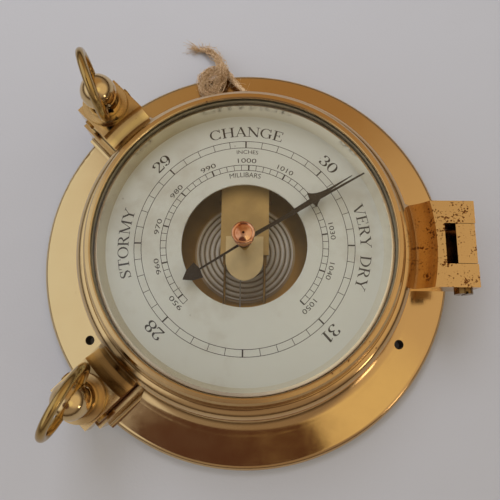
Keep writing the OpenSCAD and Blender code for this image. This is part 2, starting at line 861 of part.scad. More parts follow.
// Knob with a rolled rim round a domed top, on the stem that passes through the glass
module set_knob() {
    rim = knob_rim;
    color("sienna") union() {
        bar(stem_r, set_hand_z - 0.2, knob_z + cut);
        rotate_extrude() difference() {
            union() {
                translate([0, knob_skirt_z]) square([bush_r - knob_skirt_in, knob_skirt_h + cut]);
                translate([0, knob_z]) square([knob_r - rim, knob_rim_z - knob_z]);
                translate([knob_r - rim, knob_rim_z]) circle(r = rim);
                translate([knob_r - rim - 0.2, knob_z + 0.4]) circle(r = 0.4);
            }
            translate([0, knob_rim_z - 0.1]) square([knob_r - 1.6 * rim, 2]);
        }
        intersection() {
            translate([0, 0, knob_rim_z + dome_rise - dome_r]) sphere(r = dome_r);
            bar(knob_r - rim, knob_rim_z - 1.5, knob_rim_z + 2);
        }
    }
}

module set_hand() {
    color("black") at_azimuth(set_hand_az) translate([0, 0, set_hand_z]) difference() {
        union() {
            bar(set_hand_hub_r, 0, set_hand_t);
            linear_extrude(set_hand_t) polygon([
                [set_hand_half, 0], [set_hand_half, set_hand_waist_y], [set_hand_tip_half, set_hand_len],
                [-set_hand_tip_half, set_hand_len], [-set_hand_half, set_hand_waist_y], [-set_hand_half, 0]
            ]);
        }
        bar(stem_r, -cut, set_hand_t + cut);
    }
}

module seat_washer(i) {
    color("goldenrod") at_azimuth(dogs[i]) translate([0, dog_r, 0]) difference() {
        bar(washer_r, dog_plate_z + slip, washer_top_z);
        bar(thread_core_d / 2 + thread_gap, dog_plate_z - cut, washer_top_z + cut);
    }
}

// Places a ring's frame: the hole's axis along +Y and the ring's centre straight above on +Z
module loop_frame(i) {
    at_azimuth(dogs[i]) translate([0, dog_r, ball_z]) {
        rotate([0, 0, -loop_turn[i]]) rotate([0, loop_tilt[i], 0]) rotate([loop_slip[i], 0, 0]) children();
    }
}

// Ball on a collar and a neck, with the captive screw below and a hole for the ring, flared both ways
// from a short round throat
module ball_nut(i) {
    wire_r = loop_wire_d / 2;
    collar_z = washer_top_z + slip;
    color("goldenrod") difference() {
        at_azimuth(dogs[i]) translate([0, dog_r, 0]) union() {
            translate([0, 0, ball_z]) sphere(r = ball_d / 2);
            bar(neck_r, collar_z, ball_z - 4);
            bar(collar_r, collar_z, collar_z + collar_h);
            bar(thread_core_d / 2, waist_top_z, collar_z + cut);
            bar(waist_d / 2, waist_bottom_z - cut, waist_top_z + cut);
            bar(thread_core_d / 2, thread_tip_z, waist_bottom_z);
        }
        loop_frame(i) rotate([90, 0, 0]) rotate_extrude() union() {
            difference() {
                translate([0, -ball_d * 0.6]) square([5.4, ball_d * 1.2]);
                translate([wire_r + loop_gap + loop_d / 2, 0]) circle(r = loop_d / 2);
            }
            translate([0, -throat_half]) square([wire_r + loop_gap + throat_gap, 2 * throat_half]);
        }
    }
}

module dog_ring(i) {
    color("gold") loop_frame(i) translate([0, 0, loop_d / 2]) rotate([0, 90, 0]) {
        rotate_extrude() translate([loop_d / 2, 0]) circle(r = loop_wire_d / 2);
    }
}

// Steps from one route point to the next, as a smooth curve through them
function between(p, i, t) = let (a = p[max(i - 1, 0)], b = p[i], c = p[i + 1], d = p[min(i + 2, len(p) - 1)])
    0.5 * (2 * b + (c - a) * t + (2 * a - 5 * b + 4 * c - d) * t * t + (3 * b - a - 3 * c + d) * t * t * t);

function unit(v) = v / norm(v);

// Carries a sideways direction along the route without twisting it
function carried(ways, i, n) = i >= len(ways) ? [] :
    let (m = unit(n - (n * ways[i]) * ways[i])) concat([m], carried(ways, i + 1, m));

module twine() {
    pieces = 3;
    spans = len(twine_route) - 1;
    path = concat([for (i = [0:spans - 1]) for (k = [0:pieces - 1]) between(twine_route, i, k / pieces)],
                  [twine_route[spans]]);
    last = len(path) - 1;
    ways = [for (i = [0:last]) unit(path[min(i + 1, last)] - path[max(i - 1, 0)])];
    sides_to = carried(ways, 0, [1, 0, 0]);
    points = [for (i = [0:last]) for (k = [0:twine_sides - 1]) let (a = 360 * k / twine_sides)
              path[i] + twine_d / 2 * (cos(a) * sides_to[i] + sin(a) * cross(ways[i], sides_to[i]))];
    walls = [for (i = [0:last - 1]) for (k = [0:twine_sides - 1]) let (
                 a = i * twine_sides + k, b = i * twine_sides + (k + 1) % twine_sides)
             for (face = [[a, b + twine_sides, b], [a, a + twine_sides, b + twine_sides]]) face];
    start = [for (k = [0:twine_sides - 1]) k];
    end = [for (k = [twine_sides - 1:-1:0]) last * twine_sides + k];
    color("peru") polyhedron(points, concat(walls, [start, end]));
}

base_flange();
window_gasket();
back_cover();
back_cover_screws();
dial_plate();
reflector_ring();
movement_plate();
movement_pillars();
pillar_screws();
aneroid_capsule();
bridge();
pointer_cock();
cock_screws();
bearing_plate();
rocker_posts();
adjusting_screw();
main_lever();
rocker();
chain();
pointer_arbor();
main_pointer();
hairspring();
window_ring();
glass();
glass_gasket();
glass_retainer();
hinge_pin();
keeper_pins();
knob_bush();
set_knob();
set_hand();
seat_washer(0);  // seat_washer_upper
seat_washer(1);  // seat_washer_lower
ball_nut(0);  // ball_nut_upper
ball_nut(1);  // ball_nut_lower
dog_ring(0);  // dog_ring_upper
dog_ring(1);  // dog_ring_lower
twine();
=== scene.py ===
import math

import bpy
import numpy as np
from mathutils import Euler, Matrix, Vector


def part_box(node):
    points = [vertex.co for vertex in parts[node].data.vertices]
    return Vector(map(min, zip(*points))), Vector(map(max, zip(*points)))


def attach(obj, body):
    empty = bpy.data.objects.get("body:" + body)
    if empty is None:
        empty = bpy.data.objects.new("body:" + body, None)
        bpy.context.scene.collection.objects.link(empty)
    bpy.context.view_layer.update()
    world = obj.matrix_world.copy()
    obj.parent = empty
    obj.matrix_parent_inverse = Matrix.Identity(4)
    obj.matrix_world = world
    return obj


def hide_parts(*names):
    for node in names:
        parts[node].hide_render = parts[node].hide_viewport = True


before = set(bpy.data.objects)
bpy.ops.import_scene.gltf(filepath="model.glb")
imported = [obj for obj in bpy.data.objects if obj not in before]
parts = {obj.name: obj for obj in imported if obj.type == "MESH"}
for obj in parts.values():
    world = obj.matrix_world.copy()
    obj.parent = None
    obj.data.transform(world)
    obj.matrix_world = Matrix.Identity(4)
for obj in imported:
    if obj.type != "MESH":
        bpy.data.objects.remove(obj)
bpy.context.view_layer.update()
MM = 0.001

# Camera, floor and light
# The instrument lies on a white cloth and is seen from above its lower edge. A window stands above the
# top edge, pale walls lie to the left, a warm room to the right, and it is darker below the dial.
CAMERA_AT = Vector((4.698, -45.385, 222.18)) * MM
CAMERA_TURN = Euler([math.radians(a) for a in (12.526, 0.525, 0.806)])
CAMERA_LENS = 35.642
SENSOR_WIDTH = 36
NEAREST_SEEN = 0.01
FLOOR_HALF = 5.0
FLOOR_BELOW = 0.3 * MM
FLOOR_HEX = "#c9cdd8"
WEAVE_PER_M = 900.0
CREASES_PER_M = 7.0
ROOM_HEX = "#a1958a"
ROOM_STRENGTH = 0.95
ROOM_LOBES = (
    ("#b49872", (0.0, 0.62, 0.78), 0.80, 0.97),
    ("#edecea", (-0.72, -0.06, 0.55), 0.70, 0.82),
    ("#e4d4b6", (0.62, -0.02, 0.70), 0.72, 0.93),
    ("#fff3c6", (0.28, -0.26, 0.91), 0.955, 0.983),
    ("#5c4037", (-0.09, -0.42, 0.90), 0.942, 0.956),
    ("#574a3d", (0.0, 0.0, -1.0), -0.42, -0.10))
KEY_AT = Vector((-0.08, 0.40, 0.53))
KEY_SIZE = 0.34
KEY_WATTS = 1.4
FILL_AT = Vector((-0.62, 0.05, 0.8))
FILL_SIZE = 0.5
FILL_WATTS = 0.4
GLINT_AT = Vector((0.75, -0.55, 0.28))
GLINT_SIZE = 0.13
GLINT_WATTS = 0.3
# The colour Mix node's sockets: the second colour's share, the first colour and the second
SHARE, FIRST, SECOND = 0, 6, 7


def tone(text, alpha=1.0):
    """The linear colour of an sRGB hex value: each channel through the sRGB curve."""
    part = np.array([int(text[i:i + 2], 16) for i in (1, 3, 5)]) / 255
    linear = np.where(part <= 0.04045, part / 12.92, ((part + 0.055) / 1.055) ** 2.4)
    return (*linear.tolist(), alpha)


def fill(tree, node, inputs):
    """Sets or links the named inputs of a node. A node stands for its first output in use, and a hex
    text for its colour."""
    for key, value in inputs.items():
        if isinstance(value, bpy.types.Node):
            value = next(out for out in value.outputs if out.enabled)
        if isinstance(value, bpy.types.NodeSocket):
            tree.links.new(value, node.inputs[key])
        else:
            node.inputs[key].default_value = tone(value) if isinstance(value, str) else value


def put(tree, kind, inputs=None, stops=(), **settings):
    """Adds one node, sets its properties and the places and colours of its ramp, the two ends first, and
    fills its inputs."""
    made = tree.nodes.new("ShaderNode" + kind)
    for key, value in settings.items():
        setattr(made, key, value)
    for i, (at, colour) in enumerate(stops):
        stop = made.color_ramp.elements[i] if i < 2 else made.color_ramp.elements.new(at)
        stop.position = at
        stop.color = tone(colour) if isinstance(colour, str) else colour
    fill(tree, made, inputs or {})
    return made


def new_material(name):
    """An empty material with its tree, its shader and its object coordinates."""
    made = bpy.data.materials.new(name)
    made.use_nodes = True
    tree = made.node_tree
    shader = next(n for n in tree.nodes if n.type == "BSDF_PRINCIPLED")
    place = put(tree, "TexCoord").outputs["Object"]
    return made, tree, shader, place


def give(obj, material):
    """Puts one material on an object in place of what it came with."""
    obj.data.materials.clear()
    obj.data.materials.append(material)


camera_data = bpy.data.cameras.new("camera")
camera_data.lens = CAMERA_LENS
camera_data.sensor_width = SENSOR_WIDTH
camera_data.clip_start = NEAREST_SEEN
camera = bpy.data.objects.new("camera", camera_data)
camera.location = CAMERA_AT
camera.rotation_euler = CAMERA_TURN
bpy.context.scene.collection.objects.link(camera)
bpy.context.scene.camera = camera
bpy.context.scene.view_settings.view_transform = "Standard"


def cloth_floor():
    """A pale cotton sheet: matt, with soft creases and a weave drawn about 1 mm wide, coarser than the
    real threads so that it shows."""
    made, tree, shader, place = new_material("floor_cotton")
    weave = put(tree, "TexNoise", {"Vector": place, "Scale": WEAVE_PER_M, "Detail": 2.0})
    folds = put(tree, "TexNoise", {"Vector": place, "Scale": CREASES_PER_M, "Detail": 3.0})
    threads = put(tree, "Bump", {"Height": weave, "Strength": 0.12, "Distance": 0.4 * MM})
    creased = put(tree, "Bump", {"Height": folds, "Strength": 0.55, "Distance": 9 * MM, "Normal": threads})
    fill(tree, shader, {"Base Color": FLOOR_HEX, "Roughness": 0.9, "Specular IOR Level": 0.1,
                        "Normal": creased})
    return made


corners = FLOOR_HALF * np.array([(-1, -1, 0), (1, -1, 0), (1, 1, 0), (-1, 1, 0)])
floor_mesh = bpy.data.meshes.new("floor")
floor_mesh.from_pydata(corners.tolist(), [], [(0, 1, 2, 3)])
floor = bpy.data.objects.new("floor", floor_mesh)
floor.location = (0, 0, -FLOOR_BELOW)
bpy.context.scene.collection.objects.link(floor)
give(floor, cloth_floor())


def lamp(name, at, size, watts, hex_tone, mirrored=False):
    """A square area lamp that faces the dial, and may or may not show in polished metal."""
    data = bpy.data.lights.new(name, "AREA")
    data.size = size
    data.energy = watts
    data.color = tone(hex_tone)[:3]
    made = bpy.data.objects.new(name, data)
    made.location = at
    made.rotation_euler = (-at).to_track_quat("-Z", "Y").to_euler()
    made.visible_glossy = mirrored
    made.visible_transmission = False
    bpy.context.scene.collection.objects.link(made)


lamp("key", KEY_AT, KEY_SIZE, KEY_WATTS, "#f4f7ff")
lamp("fill", FILL_AT, FILL_SIZE, FILL_WATTS, "#fff4e4")
lamp("glint", GLINT_AT, GLINT_SIZE, GLINT_WATTS, "#fff0d8", mirrored=True)

world = bpy.data.worlds.new("room")
world.use_nodes = True
bpy.context.scene.world = world
sky = world.node_tree
ray = put(sky, "TexCoord").outputs["Generated"]
looks = ROOM_HEX
for hex_tone, towards, begins, full in ROOM_LOBES:
    near = put(sky, "VectorMath", {0: ray, 1: Vector(towards).normalized()}, operation="DOT_PRODUCT")
    share = put(sky, "MapRange", {"Value": near, "From Min": begins, "From Max": full},
                interpolation_type="SMOOTHSTEP")
    looks = put(sky, "Mix", {SHARE: share, FIRST: looks, SECOND: hex_tone}, data_type="RGBA")
background = next(n for n in sky.nodes if n.type == "BACKGROUND")
fill(sky, background, {"Color": looks, "Strength": ROOM_STRENGTH})

# Twine
# A short tie of three-strand jute through the top fixing hole. It makes one loop on the flange and its
# frayed end lies on the cloth. The route repeats the one in the part's source.
TWINE_ROUTE = np.array([
    [0, 76.3, 2.5], [0, 76.3, 5.5], [-0.4, 76.75, 8.0], [-1.5, 78, 9.8], [-3.2, 79.9, 10.1],
    [-5, 81.9, 9.4], [-7, 84.4, 8.8], [-9.4, 87.9, 8.6], [-12.7, 90.8, 7.8], [-16, 89.8, 7.9],
    [-18.9, 88.4, 8.3], [-21.1, 86, 8.3], [-21.9, 82.7, 8.3], [-21, 79, 8.4], [-18.1, 77, 8.6],
    [-15.2, 78.6, 8.9], [-13.9, 81.7, 9.6], [-12.5, 85.1, 10.6], [-11.7, 88.2, 11.1],
    [-12.5, 92.5, 9.4], [-14.4, 98.1, 5.2], [-17.5, 103.4, 1.9], [-21, 105.9, 1.25],
    [-24.5, 106.5, 1.25]]) * MM
TWINE_D = 2.2 * MM
STRAND_R = 0.62 * MM
STRAND_PITCH = 7.0 * MM
JUTE_HEX = "#efd6b6"
JUTE_DARK_HEX = "#b8966a"
JUTE_STREAKS_PER_M = 1400.0


def smooth_path(route, pieces):
    """Points on the cubic through each route point whose slope is half the step between its neighbours."""
    p = np.vstack([route[0], route, route[-1]])
    t = (np.arange(pieces) / pieces)[None, :, None]
    a, b, c, d = (p[i:len(p) - 3 + i, None, :] for i in range(4))
    curve = 0.5 * (2 * b + (c - a) * t + (2 * a - 5 * b + 4 * c - d) * t ** 2
                   + (3 * b - a - 3 * c + d) * t ** 3)
    return np.vstack([curve.reshape(-1, 3), route[-1]])


def path_frames(path):
    """Unit directions along a path, and two sideways ones carried along it without twist."""
    ways = np.gradient(path, axis=0)
    ways /= np.linalg.norm(ways, axis=1)[:, None]
    across = np.zeros_like(path)
    last = np.array([1.0, 0.3, 0.1])
    for i, way in enumerate(ways):
        last = last - (last @ way) * way
        last /= np.linalg.norm(last)
        across[i] = last
    return ways, across, np.cross(ways, across)


def tube(path, radius, sides):
    """Points and faces of a closed round tube: circles of a radius about each path point, capped ends."""
    ways, across, up = path_frames(path)
    turn = 2 * np.pi * np.arange(sides) / sides
    rim = np.cos(turn)[None, :, None] * across[:, None] + np.sin(turn)[None, :, None] * up[:, None]
    radius = np.broadcast_to(np.asarray(radius, float), len(path))
    points = (path[:, None] + radius[:, None, None] * rim).reshape(-1, 3)
    i, k = np.meshgrid(np.arange(len(path) - 1), np.arange(sides), indexing="ij")
    a, b = i * sides + k, i * sides + (k + 1) % sides
    walls = np.stack([a, b, b + sides, a + sides], -1).reshape(-1, 4).tolist()
    start = list(range(sides))[::-1]
    end = list(range(len(points) - sides, len(points)))
    return points, walls + [start, end]


def joined(shapes):
    """Several point and face pairs as one."""
    points, faces, base = [], [], 0
    for some, these in shapes:
        points.append(some)
        faces += [[base + v for v in f] for f in these]
        base += len(some)
    return np.vstack(points), faces


def jute():
    """Dry jute, twisted: matt plant fibre, fawn with darker streaks about 0.7 mm wide, no shine."""
    made, tree, shader, place = new_material("jute_fibre")
    streak = put(tree, "TexNoise", {"Vector": place, "Scale": JUTE_STREAKS_PER_M, "Detail": 3.0})
    ramp = put(tree, "ValToRGB", {"Fac": streak}, stops=((0.35, JUTE_DARK_HEX), (0.62, JUTE_HEX)))
    bump = put(tree, "Bump", {"Height": streak, "Strength": 0.6, "Distance": 0.2 * MM})
    fill(tree, shader, {"Base Color": ramp, "Normal": bump, "Roughness": 0.85, "Specular IOR Level": 0.2})
    return made


def piece(name, points, faces, material, body, smooth=True):
    """A mesh object from point and face arrays that rides on a body."""
    mesh = bpy.data.meshes.new(name)
    mesh.from_pydata(np.asarray(points, float).tolist(), [], [list(map(int, f)) for f in faces])
    mesh.update()
    if smooth:
        mesh.polygons.foreach_set("use_smooth", np.ones(len(mesh.polygons), bool))
    made = bpy.data.objects.new(name, mesh)
    bpy.context.scene.collection.objects.link(made)
    give(made, material)
    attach(made, body)
    return made


twine_path = smooth_path(TWINE_ROUTE, 8)
ways, across, up = path_frames(twine_path)
run = np.concatenate([[0], np.cumsum(np.linalg.norm(np.diff(twine_path, axis=0), axis=1))])
strands = []
for turn_at in (0, 2 * np.pi / 3, 4 * np.pi / 3):
    twist = 2 * np.pi * run / STRAND_PITCH + turn_at
    middle = twine_path + (TWINE_D / 2 - STRAND_R) * (
        np.cos(twist)[:, None] * across + np.sin(twist)[:, None] * up)
    strands.append(tube(middle, STRAND_R, 8))
jute_material = jute()
twine = piece("twine_strands", *joined(strands), jute_material, "base")
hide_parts("twine")

FIBRES = 620
END_FIBRES = 60
FIBRE_R = 0.075 * MM
YARNS = 230
YARNS_ACROSS = 90
YARN_R = 0.12 * MM
BUNCH_AT = 0.05
LOOP_FROM = 0.024
LOOP_TO = 0.064
LOWEST_FIBRE = 0.15 * MM
LOWEST_YARN = 0.3 * MM
rng = np.random.default_rng(7)


def stray_fibres():
    """Fine hairs that leave the twine at a slant and bend off by the square of their length, thickest at
    the frayed end and in the bunch."""
    hairs = []
    at_end = np.exp(-((run - run[-1]) / 0.006) ** 2)
    at_bunch = np.exp(-((run - BUNCH_AT) / 0.02) ** 2)
    weight = 0.35 + 2.2 * at_end + 2.0 * at_bunch
    starts = rng.choice(len(run), FIBRES, p=weight / weight.sum())
    for i in starts:
        angle = rng.uniform(0, 2 * np.pi)
        out = np.cos(angle) * across[i] + np.sin(angle) * up[i]
        length = rng.uniform(1.4, 5.2) * MM
        steps = np.linspace(0, 1, 6)[:, None]
        bend = rng.normal(0, 0.35, 3)
        slant = ways[i] * rng.uniform(-0.7, 0.9) + out * 0.5
        line = (twine_path[i] + out * TWINE_D * 0.42 + steps * length * slant
                + steps ** 2 * length * bend * 0.6)
        line[:, 2] = np.maximum(line[:, 2], LOWEST_FIBRE)
        hairs.append(tube(line, FIBRE_R * np.linspace(1, 0.5, 6), 4))
    for _ in range(END_FIBRES):
        spread = rng.normal(0, 0.42, 3)
        steps = np.linspace(0, 1, 7)[:, None]
        line = twine_path[-1] + steps * rng.uniform(2.5, 6.5) * MM * (ways[-1] + spread) + (
            steps ** 2 * rng.normal(0, 0.8, 3) * MM)
        line[:, 2] = np.clip(line[:, 2], LOWEST_FIBRE, 4 * MM)
        hairs.append(tube(line, FIBRE_R * np.linspace(1.6, 0.6, 7), 4))
    return joined(hairs)


def loose_yarns():
    """Yarns worked loose from the twist: each follows the twine for a while and stands off it most at the
    middle of its own run, and none goes under it. More of them cross the loop on low arches."""
    yarns = []
    for _ in range(YARNS):
        begins = rng.uniform(0.012, run[-1] - 0.010)
        part = (run >= begins) & (run <= begins + rng.uniform(0.007, 0.018))
        if part.sum() < 6:
            continue
        t = np.linspace(0, 1, part.sum())[:, None]
        angle = rng.uniform(0, 2 * np.pi) + rng.uniform(-1.5, 1.5) * t
        side = np.cos(angle) * across[part] + np.sin(angle) * up[part]
        side[:, 2] = np.abs(side[:, 2])
        stand = rng.uniform(0.2, 1.0 + 1.4 * (begins > 0.02)) * MM * np.sin(np.pi * t)
        curl = rng.uniform(0.0, 0.45) * MM * np.sin(np.pi * t) * np.sin(
            rng.uniform(8, 22) * t + rng.uniform(0, 6, 3))
        line = twine_path[part] + side * (TWINE_D * 0.36 + stand) + curl
        line[:, 2] = np.maximum(line[:, 2], LOWEST_YARN)
        yarns.append(tube(line, YARN_R * rng.uniform(0.7, 1.3), 5))
    loop = np.flatnonzero((run > LOOP_FROM) & (run < LOOP_TO))
    for _ in range(YARNS_ACROSS):
        a, b = rng.choice(loop, 2, replace=False)
        t = np.linspace(0, 1, 14)[:, None]
        arch = np.array([*rng.normal(0, 0.8, 2), rng.uniform(0.8, 3.8)]) * MM * 4 * t * (1 - t)
        curl = rng.normal(0, 0.8, 3) * MM * np.sin(np.pi * t) * np.sin(rng.uniform(4, 14) * t)
        yarns.append(tube((1 - t) * twine_path[a] + t * twine_path[b] + arch + curl, YARN_R * 0.9, 5))
    return joined(yarns)


fibres = piece("twine_fibres", *joined([stray_fibres(), loose_yarns()]), jute_material, "base")

# Base flange
# One brass casting, turned all over and polished: flange with a half-round rim, cove, case wall, two
# pads for the dogs and the hinge post. Years of handling have left specks. Its colour also holds a
# painted reflection, pale on the left and warm on the right in uneven patches, and painted shade in
# its corners.
# The three tones run from pale on the left to warm on the right: a painted reflection of pale walls and a
# warm room.
BRASS_PALE_HEX = "#dfc898"
BRASS_GOLD_HEX = "#d9ba88"
BRASS_WARM_HEX = "#d2ab76"
BRASS_TONES = (BRASS_PALE_HEX, BRASS_GOLD_HEX, BRASS_WARM_HEX)
PIT_HEX = "#6f4420"
# Colour of the painted shade in corners and recesses
CORNER_SHADE_HEX = "#2a1a0e"
# Colour of the painted dark reflections in the dog coves
DARK_REFLECTION_HEX = "#3a2412"
PALE_REFLECTION_UP_TO = -0.06
WARM_REFLECTION_FROM = 0.05
WARM_REFLECTION_PATCHES_PER_M = 22.0
WARM_REFLECTION_DRIFT = 0.07
PIT_RAG = 1.6 * MM
PIT_RAG_PER_M = 1500.0
PIT_SIZE_PER_M = 60.0
PIT_PATCH_PER_M = 170.0
PITS = ((190.0, 0.3, 0.05), (430.0, 0.35, 0.20), (980.0, 0.3, 0.52))
WORN_TO = 0.027
WORN_ALL = 0.020
DARK_REFLECTION_TO = 0.0125
DARK_REFLECTION_ALL = 0.0095
CORNER_REACH = 0.008
HAZE_PER_M = 45.0
LATHE_LINES_PER_M = 2600.0
DENTS_PER_M = 120.0
SWELL_PER_M = 38.0
# Painted shade in the corners begins just outside the glass retainer.
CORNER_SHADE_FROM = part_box("glass_retainer")[1].x + 0.8 * MM
CORNER_SHADE_FADE = 0.6 * MM
HINGE_AT = (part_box("hinge_pin")[0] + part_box("hinge_pin")[1]) / 2


def polished_brass(name, turned=0.0, pits=0.35, rough=0.13, tones=BRASS_TONES, worn_at=None,
                   darkened=()):
    """Polished yellow brass: metal with a clear mirror, lathe lines about 0.4 mm apart where it was
    turned, a painted reflection that runs unevenly from pale on the left to warm on the right, painted
    shade in the corners, painted dark reflections in a few coves, and dark pits of about 1, 2 and 5 mm
    pitch that crowd about one worn place. The lines are drawn coarser than real ones so that they show."""
    made, tree, shader, place = new_material(name)
    axes = put(tree, "SeparateXYZ", {"Vector": place})
    # Painted reflection: pale on the left, warm on the right, along a boundary that noise shifts.
    patch = put(tree, "TexNoise", {"Vector": place, "Scale": WARM_REFLECTION_PATCHES_PER_M, "Detail": 4.0,
                                   "Roughness": 0.6})
    drift = put(tree, "Math", {0: patch, 1: WARM_REFLECTION_DRIFT}, operation="MULTIPLY")
    from_left = put(tree, "Math", {0: axes.outputs["X"], 1: drift}, operation="ADD")
    painted_warmth = put(tree, "MapRange", {"Value": from_left, "From Min": PALE_REFLECTION_UP_TO, "From Max": WARM_REFLECTION_FROM})
    seen = put(tree, "ValToRGB", {"Fac": painted_warmth}, stops=((0, tones[0]), (1, tones[2]), (0.5, tones[1])))
    bent = put(tree, "TexNoise", {"Vector": place, "Scale": PIT_RAG_PER_M, "Detail": 3.0})
    shift = put(tree, "VectorMath", {0: bent.outputs["Color"], 1: (PIT_RAG,) * 3}, operation="MULTIPLY")
    ragged = put(tree, "VectorMath", {0: place, 1: shift}, operation="ADD")
    size = put(tree, "TexNoise", {"Vector": place, "Scale": PIT_SIZE_PER_M, "Detail": 2.0})
    patchy = put(tree, "TexNoise", {"Vector": place, "Scale": PIT_PATCH_PER_M, "Detail": 3.0})
    crowd = 0.0
    if worn_at is not None:
        away = put(tree, "VectorMath", {0: place, 1: tuple(worn_at)}, operation="DISTANCE")
        crowd = put(tree, "MapRange", {"Value": away, "From Min": WORN_TO, "From Max": WORN_ALL})
    for per_m, radius_share, crowding in PITS:
        speck = put(tree, "TexVoronoi", {"Vector": ragged, "Scale": per_m}, feature="F1")
        limit = put(tree, "MapRange", {"Value": size, "From Min": 0.48, "From Max": 0.8, "To Min": 0.0,
                                       "To Max": radius_share * pits})
        more = put(tree, "MapRange", {"Value": patchy, "From Min": 0.37, "From Max": 0.68,
                                      "To Max": crowding})
        added = put(tree, "Math", {0: more, 1: crowd}, operation="MULTIPLY")
        reach = put(tree, "Math", {0: limit, 1: added}, operation="ADD")
        spot = put(tree, "MapRange", {"Value": speck, "From Min": reach, "From Max": 0.0, "To Max": 6.0})
        seen = put(tree, "Mix", {SHARE: spot, FIRST: seen, SECOND: PIT_HEX}, data_type="RGBA")
    plan = put(tree, "VectorMath", {0: place, 1: (1.0, 1.0, 0.0)}, operation="MULTIPLY")
    distance = put(tree, "VectorMath", {0: plan}, operation="LENGTH")
    beyond_retainer = put(tree, "MapRange", {"Value": distance, "From Min": CORNER_SHADE_FROM,
                                    "From Max": CORNER_SHADE_FROM + CORNER_SHADE_FADE})
    # Painted shade: darker where nearby surfaces hem the brass in, from an occlusion mask.
    corner = put(tree, "AmbientOcclusion", {"Distance": CORNER_REACH}, samples=8)
    corner_shade = put(tree, "MapRange", {"Value": corner.outputs["AO"], "From Min": 0.68, "From Max": 0.14,
                                   "To Max": 0.9})
    corner_shade_share = put(tree, "Math", {0: corner_shade, 1: beyond_retainer}, operation="MULTIPLY")
    seen = put(tree, "Mix", {SHARE: corner_shade_share, FIRST: seen, SECOND: CORNER_SHADE_HEX}, data_type="RGBA")
    # Painted dark reflections about the given places.
    for where, strength in darkened:
        away = put(tree, "VectorMath", {0: place, 1: tuple(where)}, operation="DISTANCE")
        brown = put(tree, "MapRange", {"Value": away, "From Min": DARK_REFLECTION_TO, "From Max": DARK_REFLECTION_ALL,
                                       "To Max": strength})
        seen = put(tree, "Mix", {SHARE: brown, FIRST: seen, SECOND: DARK_REFLECTION_HEX}, data_type="RGBA")
    haze = put(tree, "TexNoise", {"Vector": place, "Scale": HAZE_PER_M, "Detail": 5.0, "Roughness": 0.7})
    dull = put(tree, "MapRange", {"Value": haze, "From Min": 0.3, "From Max": 0.75,
                                  "To Min": rough * 0.7, "To Max": rough * 1.8})
    round_at = put(tree, "CombineXYZ", {"X": distance, "Y": axes.outputs["Z"]})
    lines = put(tree, "TexNoise", {"Vector": round_at, "Scale": LATHE_LINES_PER_M, "Detail": 2.0})
    grain = put(tree, "Bump", {"Height": lines, "Strength": turned, "Distance": 0.03 * MM})
    dents = put(tree, "TexNoise", {"Vector": place, "Scale": DENTS_PER_M, "Detail": 3.0})
    swell = put(tree, "TexNoise", {"Vector": place, "Scale": SWELL_PER_M, "Detail": 1.0})
    hand = put(tree, "Bump", {"Height": swell, "Strength": 0.25, "Distance": 1.2 * MM, "Normal": grain})
    worn = put(tree, "Bump", {"Height": dents, "Strength": 0.08, "Distance": 0.4 * MM, "Normal": hand})
    fill(tree, shader, {"Base Color": seen, "Roughness": dull, "Normal": worn, "Metallic": 1.0})
    return made


flange_brass = polished_brass("turned_brass", turned=0.5, worn_at=HINGE_AT)
give(parts["base_flange"], flange_brass)

# Window gasket and glass gasket
# Square cords of black rubber. One is pressed into the groove in the case rim, and the other lies
# between the glass and the lip of the window ring.
RUBBER_HEX = "#1c1b1a"
GRIT_PER_M = 900.0


def black_rubber():
    """Moulded nitrile rubber: near black, matt, uneven over about 1 mm."""
    made, tree, shader, place = new_material("black_rubber")
    grit = put(tree, "TexNoise", {"Vector": place, "Scale": GRIT_PER_M})
    bump = put(tree, "Bump", {"Height": grit, "Strength": 0.2, "Distance": 0.1 * MM})
    fill(tree, shader, {"Base Color": RUBBER_HEX, "Roughness": 0.6, "Normal": bump})
    return made


rubber = black_rubber()
give(parts["window_gasket"], rubber)
give(parts["glass_gasket"], rubber)

# Back cover, movement plate, posts and screws
# Sheet and turned brass that is never polished, a dull, brushed yellow, held together with screws of
# turned steel. The rocker and the pointer's arbor are of the same brass, and the chain of steel.
DULL_BRASS_HEX = "#b8924e"
STEEL_HEX = "#8d8b86"
BLOOM_PER_M = 70.0
MILL_LINES_PER_M = 700.0


def satin_brass(name, hex_tone, rough, metal=1.0):
    """Brass or bronze left from the lathe or the mill: one tone, broken by mill lines about 0.1 mm wide
    and 1.4 mm long and by a faint bloom over about 14 mm."""
    made, tree, shader, place = new_material(name)
    stretched = put(tree, "Mapping", {"Vector": place, "Scale": (1.0, 12.0, 12.0)})
    lines = put(tree, "TexNoise", {"Vector": stretched, "Scale": MILL_LINES_PER_M, "Detail": 2.0})
    bloom = put(tree, "TexNoise", {"Vector": place, "Scale": BLOOM_PER_M, "Detail": 4.0})
    base = np.array(tone(hex_tone)[:3])
    ramp = put(tree, "ValToRGB", {"Fac": bloom}, stops=((0.3, (*(base * 0.72), 1)),
                                                        (0.7, (*np.minimum(base * 1.12, 1), 1))))
    bump = put(tree, "Bump", {"Height": lines, "Strength": 0.15, "Distance": 0.05 * MM})
    fill(tree, shader, {"Base Color": ramp, "Normal": bump, "Metallic": metal, "Roughness": rough})
    return made


dull_brass = satin_brass("dull_brass", DULL_BRASS_HEX, 0.35)
for name in ("back_cover", "movement_plate", "movement_pillars", "rocker_posts", "rocker",
             "pointer_arbor"):
    give(parts[name], dull_brass)
steel = satin_brass("turned_steel", STEEL_HEX, 0.3)
for name in ("back_cover_screws", "pillar_screws", "cock_screws", "adjusting_screw", "chain"):
    give(parts[name], steel)

# Dial plate
# Brass disc silvered and lacquered, matt and slightly green, with a round opening over the movement.
# It lies on the seat in the case, and the reflector ring stands on its edge.
DIAL_HEX = "#dadfd8"
DIAL_STAIN_HEX = "#bebcae"
DIAL_SPECK_HEX = "#6b6350"
STAINS_PER_M = 26.0
SPECKS_PER_M = 95.0
BRUSHING_PER_M = 2200.0


